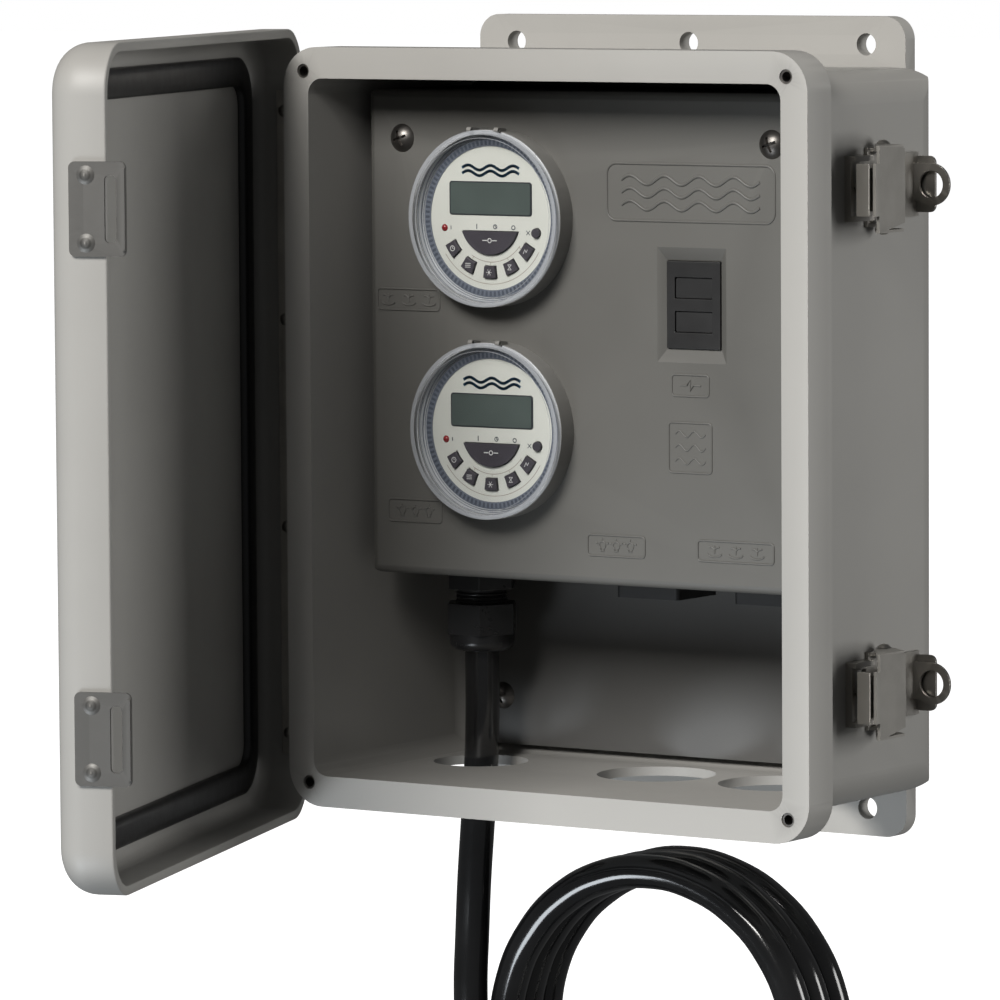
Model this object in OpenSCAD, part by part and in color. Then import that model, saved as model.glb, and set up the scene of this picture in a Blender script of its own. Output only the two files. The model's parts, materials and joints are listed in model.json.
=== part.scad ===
// Wall-mounted control box: a moulded enclosure with a hinged, latched door, two round digital
// timers and a ground-fault outlet on a dead-front panel, and a supply cord coiled below it.
// The wall is the plane y = 0, the door side faces -Y, and +Z is up.

/* [Enclosure] */
// Width of the front rim
rim_w = 265; // [255:1:285]
// Height of the front rim
rim_h = 330; // [325:1:345]
// Depth of the front rim along Y
rim_t = 19; // [16:1:20]
// Distance from the wall to the front face of the rim
box_d = 126.5; // [126:0.5:135]
// Width of the opening inside the rim
open_w = 239; // [236:1:241]
// Height of the opening inside the rim
open_h = 303; // [301:1:305]
// Wall thickness of the moulded body
wall = 4; // [3:0.5:5]
// Radius of the body's rear edges
rear_r = 17; // [10:1:18]

/* [Wall mounting] */
// Distance between the outer mounting holes along X
hole_span_x = 180; // [170:1:190]
// Distance between the two rows of mounting holes along Z
hole_span_z = 330; // [328:1:336]
// Diameter of a mounting hole
hole_d = 9.5; // [7:0.5:10]
// Width of a mounting flange
flange_w = 219; // [210:1:225]
// Thickness of a mounting flange
flange_t = 8; // [6:0.5:9]

/* [Door] */
// Angle at which the door stands open
door_open = 71; // [0:1:175]
// How far the door stands past the rim all round
door_over = 7.5; // [7.5:0.1:9]
// Outside depth of the door
door_d = 26; // [25:0.5:30]
// Radius of the door's front edges
door_edge_r = 14; // [6:1:14]

/* [Timers] */
// Diameter of a timer's lens cover
timer_d = 76.4; // [74:0.1:78]
// Distance between the two timers along Z
timer_pitch = 91.5; // [88:0.5:95]
// Travel of a timer button
button_travel = 0.8; // [0.4:0.1:1]

/* [Cord] */
// Diameter of the supply cord
cord_d = 15.2; // [12:0.1:15.2]
// Number of turns in the coil
coil_turns = 3; // [2:1:3]
// Radius of the coil at the middle of its turns
coil_r = 76.5; // [76:0.5:80]

/* [Hidden] */
$fn = 48;
eps = 0.01;
GREY = "#9b9993";
PANEL_GREY = "#6b6a65";
STEEL = "#a9a8a4";
BLACK = "#1c1c1d";

rim_y = -box_d;                        // front face of the rim
rim_back_y = rim_y + rim_t;
body_w = open_w + 2 * wall;
body_h = open_h + 2 * wall;
rim_corner_r = 17;
open_corner_r = 7;
flange_corner_r = 10;
body_corner_r = 14;
flange_top = 12;                       // flange edge beyond the hole row
insert_x = rim_w / 2 - 10.4;
insert_z = rim_h / 2 - 10.4;
insert_len = 11;
insert_r = 3.1;
insert_bore_r = 2.1;

entry_y = -46;                         // the three floor holes lie on one line
entry_x = [-86, 6, 68];
entry_r = [21, 26, 26];

plate_t = 2.5;                         // back plate
plate_y = -14.5;                       // its front face
plate_w = 226;
plate_h = 295;
plate_screw_x = 95;
plate_screw_z = [-126, 138];
plate_screw_r = 2.4;

panel_y = -92;                         // front face of the dead-front panel
panel_w = 224;
panel_top = 146;
panel_bottom = -65;
panel_back_y = -24;
panel_t = 3;
panel_h = panel_top - panel_bottom;
panel_mid = (panel_top + panel_bottom) / 2;
panel_screw = [94, 125];
panel_screw_r = 2.4;

timer_x = -44;
timer_z = [timer_pitch, 0];
timer_r = timer_d / 2;
timer_front_y = -101.7;                // front edge of the housing
dial_y = -98;                          // front face of the dial
dial_t = 4;
dial_r = timer_r - 2;
timer_rear_r = 30;
cover_gap = 0.3;
cover_t = 1.4;
cover_front_y = -105;
cover_pin_y = -103.4;
cover_pin_z = timer_r - 0.2;
cover_pin_r = 0.6;
cover_barrel_r = 1.2;
play = 0.3;                            // gap all round a button
key_r = [20.7, 25.9];                  // inner and outer radius of the row of keys
key_angles = [-145, -118.5, -90.5, -63.5, -37];
key_sweep = 14;
manual_r = 15;
manual_top = -5.7;
manual_mid = -0.7;
reset_at = [23.6, -6];
reset_r = 2;
led_at = [-24, -4.6];
led_r = 1.6;
lcd_at = [0, 8.4];
lcd_size = [41, 13.5];
button_front_y = -99.4;
button_back_y = -96.4;
pocket_y = button_back_y + button_travel + 0.5;

gfci_at = [54, 56.3];
gfci_open = [27, 37.5];
gfci_bevel = 3.8;
gfci_key = [18, 8.5];
gfci_key_z = 7.2;
outlet_x = [10.5, 70.5];
outlet_y = -44;
outlet_w = 32;
outlet_body_w = 29;

gland_x = -85;
gland_wall_r = 11.6;
gland_af = 28;                         // hexagon across flats
gland_bore_r = 7.8;

hinge_x = -135.1;
hinge_y = -103.7;
hinge_r = 2.2;
hinge_pin_r = 1.1;
hinge_bore_r = 1.16;
hinge_len = 291;
knuckles = 7;
knuckle_len = hinge_len / knuckles;
leaf_t = 1.1;
leaf_end_y = -118.5;
hinge_rivet_y = -115;
hinge_rivets_z = [-136.5, -45.5, 45.5, 136.5];

door_w = rim_w + 2 * door_over;
door_h = rim_h + 2 * door_over;
door_back_y = -108;                    // free edge of the door's walls when shut
door_front_y = door_back_y - door_d;
door_t = 3.5;
door_wall = 4;
door_in_edge_r = 7;
door_corner_r = 21;
door_in_y = door_front_y + door_t;
door_x = door_w / 2;
gasket_y = rim_y - 0.4;
gasket_w = 257;
gasket_h = 321;
gasket_band = 12.5;

latch_z = [106.5, -106.5];
wall_x = body_w / 2;                   // outside of the body's side wall
striker_t = 1.4;
striker_h = 38;
striker_y = [-123.2, -99.3];
striker_slot_y = [-108.2, -103.2];
striker_slot_h = 27;
striker_rivet = [-116, 13.6];
pivot_x = 129;
pivot_y = -59.5;
pivot_r = 1.5;
pivot_bore_r = 1.55;
lever_x = 140;
lever_t = 1.4;
hook_x = 136;
hook_t = 1.2;
hasp_y = -27;
hasp_x = 133.5;
hasp_r = 9;
hasp_hole_r = 5.8;

// Cord: straight down from the box, then a long bend into the underside of the coil
coil_x = -1;
coil_z = -272;
coil_pitch = 15.4;                     // from one turn to the next along Y
coil_mid_y = -24.6;
coil_back_y = coil_mid_y + coil_pitch * (coil_turns - 1) / 2;
cord_sides = 10;
route = [
    [-85, -46, -48], [-85, -46, -75], [-85, -46, -102], [-85, -46, -130], [-86, -46, -155],
    [-88, -46, -180], [-90, -46, -205], [-92, -45, -230], [-93, -45, -252], [-93, -44, -272],
    [-91.6, -43, -288], [-87.5, -42.5, -303.5], [-80.7, -42, -318], [-71, -41.5, -331],
    [-59, -41, -341.5], [-45.5, -40.5, -349]
];
route_steps = 2;
tail_x = coil_x - coil_r;              // the last turn runs straight down into the plug
tail_z = coil_z - 28;
plug_top = coil_z - 60;
plug_len = 52;
plug_r = 17;
tie_t = 1.3;
tie_w = 5;
tie_gap = 0.4;

// ---- shapes ----

// Rectangle with round corners, centred
module round_rect(w, h, r) {
    square([w - 2 * r, h], center = true);
    square([w, h - 2 * r], center = true);
    for (x = [-1, 1], y = [-1, 1]) translate([x * (w / 2 - r), y * (h / 2 - r)]) circle(r);
}

// Stands a flat outline upright, facing -Y, from y0 back to y1
module slab(y0, y1) translate([0, y1, 0]) rotate([90, 0, 0]) linear_extrude(y1 - y0) children();

// Outline from y = flat to y = curved, with its two corners at the curved end rounded
module end_rounded(w, flat, curved, r) {
    s = sign(curved - flat);
    translate([-w / 2, min(flat, curved - s * r)]) square([w, abs(curved - flat) - r]);
    translate([-w / 2 + r, min(flat, curved)]) square([w - 2 * r, abs(curved - flat)]);
    for (x = [-1, 1]) translate([x * (w / 2 - r), curved - s * r]) circle(r);
}

// Block with round upright corners, whose edges are also rounded at y = curved
module tub(w, h, flat, curved, corner, edge) intersection() {
    slab(min(flat, curved), max(flat, curved)) round_rect(w, h, corner);
    linear_extrude(h, center = true) end_rounded(w, flat, curved, edge);
    rotate([0, -90, 0]) linear_extrude(w, center = true) end_rounded(h, flat, curved, edge);
}

// Round bar along Y
module bar_y(r, y0, y1, x = 0, z = 0) translate([x, y1, z]) rotate([90, 0, 0]) cylinder(y1 - y0, r = r);

// Round bar along X
module bar_x(r, x0, x1, y = 0, z = 0) translate([x0, y, z]) rotate([0, 90, 0]) cylinder(x1 - x0, r = r);

// Round bar along Z
module bar_z(r, z0, z1, x = 0, y = 0) translate([x, y, z0]) cylinder(z1 - z0, r = r);

// Box between two corners
module block(a, b) translate(a) cube(b - a);

// Low domed head whose flat side faces the part, lying on +Z
module dome_head(r, h) intersection() {
    ball_r = (r * r + h * h) / (2 * h);
    translate([0, 0, h - ball_r]) sphere(ball_r);
    cylinder(h + 1, r = r);
}

// Hexagonal bar along Z, measured across its flats
module hex_bar(af, h) cylinder(h, r = af / sqrt(3), $fn = 6);

// Carries what it holds from the shut position to where the door stands
module on_door() translate([hinge_x, hinge_y, 0]) rotate([0, 0, -door_open])
    translate([-hinge_x, -hinge_y, 0]) children();

// Smooth route through a list of points
function spline(p, i, t) = let (
        a = p[max(i - 1, 0)], b = p[i], c = p[i + 1], d = p[min(i + 2, len(p) - 1)])
    0.5 * (2 * b + (c - a) * t + (2 * a - 5 * b + 4 * c - d) * t * t
        + (3 * b - a - 3 * c + d) * t * t * t);
function smooth(p, n) = [for (i = [0 : len(p) - 2], k = [0 : n - 1]) spline(p, i, k / n), p[len(p) - 1]];
function unit(v) = v / norm(v);
function heading(p, i) = unit(p[min(i + 1, len(p) - 1)] - p[max(i - 1, 0)]);

// Tube of radius r swept along points p
module sweep(p, r, sides) {
    n = len(p);
    side = [0, 1, 0];
    rings = [for (i = [0 : n - 1]) let (t = heading(p, i), u = unit(cross(side, t)), v = cross(t, u))
        for (k = [0 : sides - 1]) p[i] + r * (cos(360 * k / sides) * u + sin(360 * k / sides) * v)];
    walls = [for (i = [0 : n - 2], k = [0 : sides - 1]) let (j = (k + 1) % sides)
        [i * sides + k, (i + 1) * sides + k, (i + 1) * sides + j, i * sides + j]];
    ends = [[for (k = [0 : sides - 1]) k], [for (k = [sides - 1 : -1 : 0]) (n - 1) * sides + k]];
    polyhedron(rings, concat(walls, ends), convexity = 6);
}

// ---- enclosure ----

module mount_holes() for (z = [-1, 1], x = [-1, 0, 1])
    bar_y(hole_d / 2, -flange_t - 1, 1, x * hole_span_x / 2, z * hole_span_z / 2);

module enclosure_body() color(GREY) {
    flange_h = hole_span_z + 2 * flange_top;
    difference() {
        union() {
            tub(body_w, body_h, rim_back_y - 1, 0, body_corner_r, rear_r);
            slab(rim_y, rim_back_y) round_rect(rim_w, rim_h, rim_corner_r);
            slab(-flange_t, 0) round_rect(flange_w, flange_h, flange_corner_r);
        }
        tub(open_w, open_h, rim_y - 1, -wall, open_corner_r, rear_r - wall);
        mount_holes();
        for (i = [0 : 2]) bar_z(entry_r[i], -body_h / 2 - 1, -open_h / 2 + 1, entry_x[i], entry_y);
        for (x = [-1, 1], z = [-1, 1])
            bar_y(insert_r, rim_y - 1, rim_y + insert_len, x * insert_x, z * insert_z);
    }
    for (x = [-1, 1], z = plate_screw_z) difference() {
        bar_y(7, plate_y + plate_t, -wall + 0.5, x * plate_screw_x, z);
        bar_y(plate_screw_r, plate_y, -wall - 1, x * plate_screw_x, z);
    }
}

module rim_inserts() color("#b08d4a") for (x = [-1, 1], z = [-1, 1]) difference() {
    bar_y(insert_r, rim_y + 0.6, rim_y + insert_len, x * insert_x, z * insert_z);
    bar_y(insert_bore_r, rim_y, rim_y + insert_len - 1.5, x * insert_x, z * insert_z);
}

module back_plate() color("#8b8a86") difference() {
    slab(plate_y, plate_y + plate_t) round_rect(plate_w, plate_h, 8);
    for (x = [-1, 1], z = plate_screw_z) bar_y(plate_screw_r, plate_y - 1, 0, x * plate_screw_x, z);
    for (x = [-1, 1]) bar_y(panel_screw_r, plate_y - 1, 0, x * panel_screw[0], panel_screw[1]);
}

// Round-head machine screw along Y: head stands out at y, shank runs back
module machine_screw(at, y, head_r, head_h, shank_r, shank_l)
    translate([at[0], y, at[1]]) rotate([90, 0, 0]) difference() {
        union() {
            dome_head(head_r, head_h);
            translate([0, 0, -shank_l]) cylinder(shank_l + eps, r = shank_r);
        }
        for (a = [20, 110]) rotate(a) translate([-head_r * 0.55, -0.6, head_h * 0.35])
            cube([head_r * 1.1, 1.2, head_h]);
    }

module back_plate_screws() color(STEEL) for (x = [-1, 1], z = plate_screw_z)
    machine_screw([x * plate_screw_x, z], plate_y, 6, 3.6, plate_screw_r, 9);

// ---- dead-front panel ----

module dead_front_panel() color(PANEL_GREY) difference() {
    translate([0, 0, panel_mid]) tub(panel_w, panel_h, panel_back_y, panel_y, 5, 3.5);
    translate([0, 0, panel_mid])
        tub(panel_w - 2 * panel_t, panel_h - 2 * panel_t, panel_back_y + 1, panel_y + panel_t, 3, 2);
    for (z = timer_z) bar_y(timer_rear_r + 0.4, panel_y - 1, panel_y + panel_t + 1, timer_x, z);
    for (x = [-1, 1])
        bar_y(panel_screw_r, panel_y - 1, panel_y + panel_t + 1, x * panel_screw[0], panel_screw[1]);
    translate([gfci_at[0], 0, gfci_at[1]]) {
        slab(panel_y - 1, panel_y + panel_t + 1) square(gfci_open, center = true);
        hull() {
            slab(panel_y - 0.1, panel_y)
                square([gfci_open[0] + 2 * gfci_bevel, gfci_open[1] + 3 * gfci_bevel], center = true);
            slab(panel_y, panel_y + 2.4) square(gfci_open, center = true);
        }
    }
    bar_z(gland_wall_r, panel_bottom - 1, panel_bottom + panel_t + 1, gland_x, entry_y);
    for (x = outlet_x) translate([x, outlet_y, panel_bottom])
        cube([outlet_body_w, outlet_body_w, 3 * panel_t], center = true);
}

module panel_screws() color(STEEL) for (x = [-1, 1])
    machine_screw([x * panel_screw[0], panel_screw[1]], panel_y, 6.2, 3.2, panel_screw_r, 12);

module panel_posts() color(STEEL) for (x = [-1, 1]) difference() {
    translate([x * panel_screw[0], plate_y, panel_screw[1]]) rotate([90, 0, 0])
        hex_bar(10, plate_y - panel_y - panel_t);
    bar_y(panel_screw_r, panel_y, panel_y + 12, x * panel_screw[0], panel_screw[1]);
}

// ---- timers ----

// Flat outlines of a timer's openings and buttons, drawn on the dial with its centre at 0, 0
module key_outline(angle, grow) intersection() {
    difference() {
        circle(key_r[1] + grow);
        circle(key_r[0] - grow);
    }
    rotate(angle) translate([0, -key_r[1]]) polygon([
        [0, key_r[1] - grow * 1.4], [40, key_r[1] - grow * 1.4 - 40 * tan(key_sweep / 2)],
        [40, key_r[1] + grow * 1.4 + 40 * tan(key_sweep / 2)], [0, key_r[1] + grow * 1.4]]);
}

module manual_outline(grow) intersection() {
    translate([0, manual_mid]) circle(manual_r + grow);
    translate([-20, manual_top + grow - 20]) square([40, 20]);
}

module spot_outline(at, r, grow) translate(at) circle(r + grow);

module on_timer(i) translate([timer_x, 0, timer_z[i]]) children();

module timer_housing(i) color(PANEL_GREY) on_timer(i) {
    difference() {
        union() {
            bar_y(timer_r, timer_front_y, panel_y);
            bar_y(timer_rear_r, panel_y - eps, panel_y + 34);
        }
        bar_y(dial_r, timer_front_y - 1, dial_y + dial_t);
    }
    for (s = [-1, 1]) difference() {
        hull() {
            bar_x(cover_barrel_r, s * 7 - 1.1, s * 7 + 1.1, cover_pin_y, cover_pin_z);
            block([s * 7 - 1.1, timer_front_y + 1, timer_r - 1.8],
                  [s * 7 + 1.1, timer_front_y + 4, timer_r + 0.3]);
        }
        bar_x(cover_pin_r + 0.06, s * 7 - 2, s * 7 + 2, cover_pin_y, cover_pin_z);
        bar_y(timer_r - 1.9, timer_front_y - 4, timer_front_y + 6);
    }
}

module timer_dial(i) color("#dcdcd6") on_timer(i) difference() {
    bar_y(dial_r, dial_y, dial_y + dial_t);
    slab(dial_y - 1, pocket_y) {
        for (a = key_angles) key_outline(a, play);
        manual_outline(play);
        spot_outline(reset_at, reset_r, play);
        spot_outline(led_at, led_r, 0);
        translate(lcd_at) round_rect(lcd_size[0], lcd_size[1], 1);
    }
}

module timer_display(i) color("#5f6b66") on_timer(i)
    slab(dial_y - 0.5, pocket_y) translate(lcd_at) round_rect(lcd_size[0], lcd_size[1], 1);

module timer_leds() color("#7a2e33") for (i = [0, 1]) on_timer(i) {
    slab(dial_y, pocket_y) spot_outline(led_at, led_r, 0);
    translate([led_at[0], dial_y, led_at[1]]) rotate([90, 0, 0]) dome_head(led_r, 0.9);
}

module timer_cover(i) color("#cfd6da", 0.4) on_timer(i) {
    difference() {
        bar_y(timer_r, cover_front_y, timer_front_y - cover_gap);
        bar_y(timer_r - cover_t, cover_front_y + cover_t, timer_front_y);
        translate([0, 0, -timer_r - 1.4]) bar_y(3, cover_front_y - 1, timer_front_y);
        for (s = [-1, 1])
            block([s * 7 - 1.4, cover_front_y - 1, timer_r - 2.6], [s * 7 + 1.4, timer_front_y, timer_r]);
    }
    difference() {
        union() {
            bar_x(cover_barrel_r, -5.4, 5.4, cover_pin_y, cover_pin_z);
            block([-5.4, cover_pin_y - 1, timer_r - 1.6], [5.4, cover_pin_y + 1, cover_pin_z]);
        }
        bar_y(timer_r - cover_t, cover_front_y + cover_t, timer_front_y);
    }
    bar_x(cover_pin_r, -8, 8, cover_pin_y, cover_pin_z);
}

module timer_key(i, k) color("#4a464f") on_timer(i)
    slab(button_front_y, button_back_y) key_outline(key_angles[k], 0);

module timer_manual(i) color("#4a464f") on_timer(i) slab(button_front_y, button_back_y) manual_outline(0);

module timer_reset(i) color("#4a464f") on_timer(i)
    slab(button_front_y, button_back_y) spot_outline(reset_at, reset_r, 0);

// ---- outlets ----

module gfci_body() color("#4b4a48") translate([gfci_at[0], 0, gfci_at[1]]) difference() {
    union() {
        slab(panel_y + panel_t, panel_y + 40) square([42, 70], center = true);
        slab(panel_y + 1.2, panel_y + panel_t + eps)
            square([gfci_open[0] - 0.4, gfci_open[1] - 0.4], center = true);
    }
    for (z = [-1, 1]) slab(panel_y, panel_y + 7)
        translate([0, z * gfci_key_z]) square(gfci_key + [0.6, 0.6], center = true);
}

module gfci_button(s) color("#3c3b3a") translate([gfci_at[0], 0, gfci_at[1] + s * gfci_key_z])
    slab(panel_y + 2, panel_y + 5.6) round_rect(gfci_key[0], gfci_key[1], 0.8);

module outlet(x) color(BLACK) translate([x, outlet_y, 0]) difference() {
    union() {
        translate([0, 0, panel_bottom - 8.5]) linear_extrude(8.5) round_rect(outlet_w, outlet_w, 2);
        translate([0, 0, panel_bottom - eps]) linear_extrude(32)
            square([outlet_body_w, outlet_body_w], center = true);
    }
    for (s = [-1, 1]) translate([s * 6.4, 3, panel_bottom - 8.5]) cube([2.2, 8.5, 24], center = true);
    bar_z(2.7, panel_bottom - 10, panel_bottom + 4, 0, -6);
}

// The part of the wiring that the cord ends in
module terminal_block() color("#2c2c2c") difference() {
    block([-104, -60, -48], [-66, plate_y, -28]);
    for (x = [-97, -85, -73]) {
        bar_y(2.6, -61, -52, x, -38);
        bar_z(2.2, -60, -41, x, -50);
    }
}

// ---- cord gland and cord ----

module cord_gland_body() color(BLACK) translate([gland_x, entry_y, 0]) difference() {
    union() {
        translate([0, 0, panel_bottom - 9.5]) hex_bar(gland_af, 9.5);
        bar_z(gland_wall_r - 0.2, panel_bottom - eps, panel_bottom + 12);
        bar_z(10.6, panel_bottom - 21, panel_bottom - 9.4);
        for (k = [0 : 3]) bar_z(11.4, panel_bottom - 12 - 1.6 * k, panel_bottom - 11.2 - 1.6 * k);
    }
    bar_z(gland_bore_r, panel_bottom - 30, panel_bottom + 20);
}

module cord_gland_nut() color(BLACK) translate([gland_x, entry_y, 0]) difference() {
    union() {
        translate([0, 0, -94.5]) hex_bar(29, 13.5);
        bar_z(14.4, -97.5, -94);
        bar_z(9.9, -102, -97);
        translate([0, 0, -97.5]) rotate_extrude() translate([9.9, 0]) circle(4.5);
    }
    bar_z(gland_bore_r, -110, -80);
    bar_z(11.5, -87, -80);
}

module cord_gland_locknut() color(BLACK) translate([gland_x, entry_y, 0]) difference() {
    translate([0, 0, panel_bottom + panel_t]) hex_bar(27, 5);
    bar_z(gland_wall_r - 0.2, panel_bottom, panel_bottom + 20);
}

module supply_cord() color(BLACK) sweep(smooth(route, route_steps), cord_d / 2, cord_sides);

module cord_coil() color(BLACK) translate([coil_x, 0, coil_z]) rotate([90, 0, 0]) {
    depth = (coil_turns - 1) * coil_pitch;
    translate([0, 0, -coil_mid_y]) rotate_extrude($fn = 96) translate([coil_r, 0]) {
        square([cord_d, depth], center = true);
        for (s = [-1, 1]) translate([0, s * depth / 2]) circle(cord_d / 2);
    }
}

module cord_plug() color(BLACK) translate([tail_x, coil_back_y, 0]) {
    bar_z(cord_d / 2, plug_top, tail_z);
    translate([0, 0, plug_top - 14]) cylinder(14 + eps, r1 = plug_r - 2, r2 = cord_d / 2 + 1.5, $fn = 48);
    bar_z(plug_r, plug_top - plug_len, plug_top - 14 + eps);
}

module plug_blades() color("#c0a060") translate([tail_x, coil_back_y, plug_top - plug_len]) {
    for (s = [-1, 1]) translate([s * 6.4, 0, -8]) cube([1.6, 6.4, 16], center = true);
    bar_z(2.4, -19, 0, 0, 9);
}

// Loop of a cable tie round everything between x0 and x1 and all the turns
module tie(x0, x1, front) {
    w = x1 - x0 + 2 * tie_gap;
    d = coil_back_y - front + cord_d + 2 * tie_gap;
    translate([(x0 + x1) / 2, (coil_back_y + front) / 2, coil_z]) difference() {
        linear_extrude(tie_w, center = true) round_rect(w + 2 * tie_t, d + 2 * tie_t, cord_d / 2 + tie_t);
        linear_extrude(tie_w + 1, center = true) round_rect(w, d, cord_d / 2);
    }
}

module cord_ties() color("#2a2a2c") {
    drop_x = -93;
    tie(drop_x - cord_d / 2, tail_x + cord_d / 2, -44);
    tie(coil_x + coil_r - cord_d / 2, coil_x + coil_r + cord_d / 2, coil_mid_y - coil_pitch);
}

// ---- door ----

module door() color(GREY) on_door() difference() {
    tub(door_w, door_h, door_back_y, door_front_y, door_corner_r, door_edge_r);
    tub(door_w - 2 * door_wall, door_h - 2 * door_wall, door_back_y + 1, door_in_y,
        door_corner_r - door_wall, door_in_edge_r);
    for (z = hinge_rivets_z) bar_x(1.6, -door_x - 1, -door_x + 8, hinge_rivet_y, z);
    for (z = latch_z, s = [-1, 1])
        bar_x(1.6, door_x - 8, door_x + 1, striker_rivet[0], z + s * striker_rivet[1]);
}

module door_gasket() color(BLACK) on_door() slab(door_in_y, gasket_y) difference() {
    round_rect(gasket_w, gasket_h, 20);
    round_rect(gasket_w - 2 * gasket_band, gasket_h - 2 * gasket_band, 9);
}

// Knuckles of one leaf: every second one, starting at first
module barrel(first) for (k = [first : 2 : knuckles - 1]) {
    z0 = -hinge_len / 2 + k * knuckle_len + 0.25;
    bar_z(hinge_r, z0, z0 + knuckle_len - 0.5, hinge_x, hinge_y);
}

module knuckle_tabs(x, first) for (k = [first : 2 : knuckles - 1]) {
    z0 = -hinge_len / 2 + k * knuckle_len + 0.25;
    block([x, leaf_end_y + 8, z0], [x + leaf_t, hinge_y, z0 + knuckle_len - 0.5]);
}

module hinge_bore() bar_z(hinge_bore_r, -hinge_len, hinge_len, hinge_x, hinge_y);

module hinge_body_leaf() color(STEEL) difference() {
    x = -rim_w / 2 - leaf_t;
    union() {
        block([x, leaf_end_y, -hinge_len / 2], [x + leaf_t, hinge_y - 3, hinge_len / 2]);
        knuckle_tabs(x, 0);
        barrel(0);
    }
    hinge_bore();
}

module hinge_door_leaf() color(STEEL) on_door() difference() {
    x = -door_x + door_wall;
    union() {
        block([x, leaf_end_y, -hinge_len / 2], [x + leaf_t, hinge_y - 3, hinge_len / 2]);
        knuckle_tabs(x, 1);
        barrel(1);
    }
    hinge_bore();
    for (z = hinge_rivets_z) bar_x(1.6, x - 1, x + 2, hinge_rivet_y, z);
}

module hinge_pin() color(STEEL) {
    bar_z(hinge_pin_r, -hinge_len / 2 - 1.6, hinge_len / 2 + 1, hinge_x, hinge_y);
    bar_z(2, hinge_len / 2 + 0.6, hinge_len / 2 + 2, hinge_x, hinge_y);
}

module hinge_rivets() color(STEEL) on_door() for (z = hinge_rivets_z) {
    x = -door_x + door_wall + leaf_t;
    bar_x(1.6, -door_x - eps, x + eps, hinge_rivet_y, z);
    translate([x, hinge_rivet_y, z]) rotate([0, 90, 0]) dome_head(2.8, 0.8);
    translate([-door_x, hinge_rivet_y, z]) rotate([0, -90, 0]) dome_head(3, 1.2);
}

module striker(z) color(STEEL) on_door() translate([0, 0, z]) difference() {
    union() {
        translate([door_x, (striker_y[0] + striker_y[1]) / 2, 0])
            rotate([90, 0, 90]) linear_extrude(striker_t)
            round_rect(striker_y[1] - striker_y[0], striker_h, 2.6);
        block([door_x, striker_y[1] - striker_t, 2.6 - striker_h / 2],
              [door_x + 3, striker_y[1], striker_h / 2 - 2.6]);
    }
    translate([door_x - 1, (striker_slot_y[0] + striker_slot_y[1]) / 2, 0])
        rotate([90, 0, 90]) linear_extrude(3)
        round_rect(striker_slot_y[1] - striker_slot_y[0], striker_slot_h, 2);
    for (s = [-1, 1]) bar_x(1.6, door_x - 1, door_x + 3, striker_rivet[0], s * striker_rivet[1]);
}

module striker_rivets() color(STEEL) on_door() for (z = latch_z, s = [-1, 1])
    translate([0, striker_rivet[0], z + s * striker_rivet[1]]) {
        bar_x(1.6, door_x - door_wall - 0.5, door_x + striker_t + eps);
        bar_x(2.6, door_x - door_wall - 1.3, door_x - door_wall);
        translate([door_x + striker_t, 0, 0]) rotate([0, 90, 0]) dome_head(3.8, 1.1);
    }

// ---- latches ----

module latch_base(z) color(STEEL) translate([0, 0, z]) {
    t = 1.6;
    difference() {
        union() {
            block([wall_x, -82, -13.7], [wall_x + t, hasp_y + 3.4, 13.7]);
            block([wall_x, -66, -16.6], [wall_x + t, -52, 16.6]);
        }
        block([wall_x - 1, -79, -10], [wall_x + 3, -68, 10]);
    }
    for (s = [-1, 1]) {
        block([wall_x, -82, s * 12.6 - 1.1], [wall_x + 5, -66, s * 12.6 + 1.1]);
        difference() {
            hull() {
                block([wall_x, -65, s * 15.9 - 0.7], [wall_x + 1, -53, s * 15.9 + 0.7]);
                bar_z(3.6, s * 15.9 - 0.7, s * 15.9 + 0.7, pivot_x, pivot_y, $fn = 32);
            }
            bar_z(pivot_bore_r, s * 15.9 - 2, s * 15.9 + 2, pivot_x, pivot_y);
        }
    }
    block([wall_x, -82, -13.7], [wall_x + 3.2, -80, 13.7]);
    for (a = [-40, 40])
        translate([wall_x + 0.4, -73.5, 0]) rotate([a, 0, 0]) cube([0.8, 17, 1.2], center = true);
    translate([0, hasp_y + 3.4, 0]) slab(-1.4, 0) intersection() {
        translate([wall_x + 5.2, 0]) round_rect(10.6, 24, 3);
        translate([wall_x, -20]) square([20, 40]);
    }
    slab(hasp_y - 0.7, hasp_y + 0.7) difference() {
        union() {
            translate([wall_x, -7]) square([hasp_x - wall_x, 16]);
            translate([hasp_x, 0]) circle(hasp_r);
        }
        translate([hasp_x, 0]) circle(hasp_hole_r);
    }
}

module latch_lever(z) color(STEEL) translate([0, 0, z]) {
    translate([lever_x, 0, 0]) rotate([90, 0, 90]) linear_extrude(lever_t) polygon([
        [-86.5, 11], [-83.5, 11], [-83.5, 18.2], [-62.6, 16.8], [-62.6, -14.5], [-83.5, -18.2],
        [-83.5, -11], [-86.5, -11]]);
    for (s = [-1, 1]) difference() {
        hull() {
            bar_z(3.6, s * 17.6 - 0.6, s * 17.6 + 0.6, pivot_x, pivot_y, $fn = 32);
            block([lever_x - 1, -82.5, s * 17.6 - 0.6], [lever_x + lever_t, -63.5, s * 17.6 + 0.6]);
        }
        bar_z(pivot_bore_r, s * 17.6 - 2, s * 17.6 + 2, pivot_x, pivot_y);
    }
}

module latch_hook(z) color(STEEL) translate([0, 0, z]) {
    block([hook_x, -89, -9], [hook_x + hook_t, -54.8, 9]);
    block([wall_x + 2.1, -56, -9], [hook_x + hook_t, -54.8, 9]);
    block([wall_x + 2.1, -56, -9], [wall_x + 3.3, -40, 9]);
    block([133.4, -89, -11], [139.4, -87.8, 11]);
}

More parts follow.
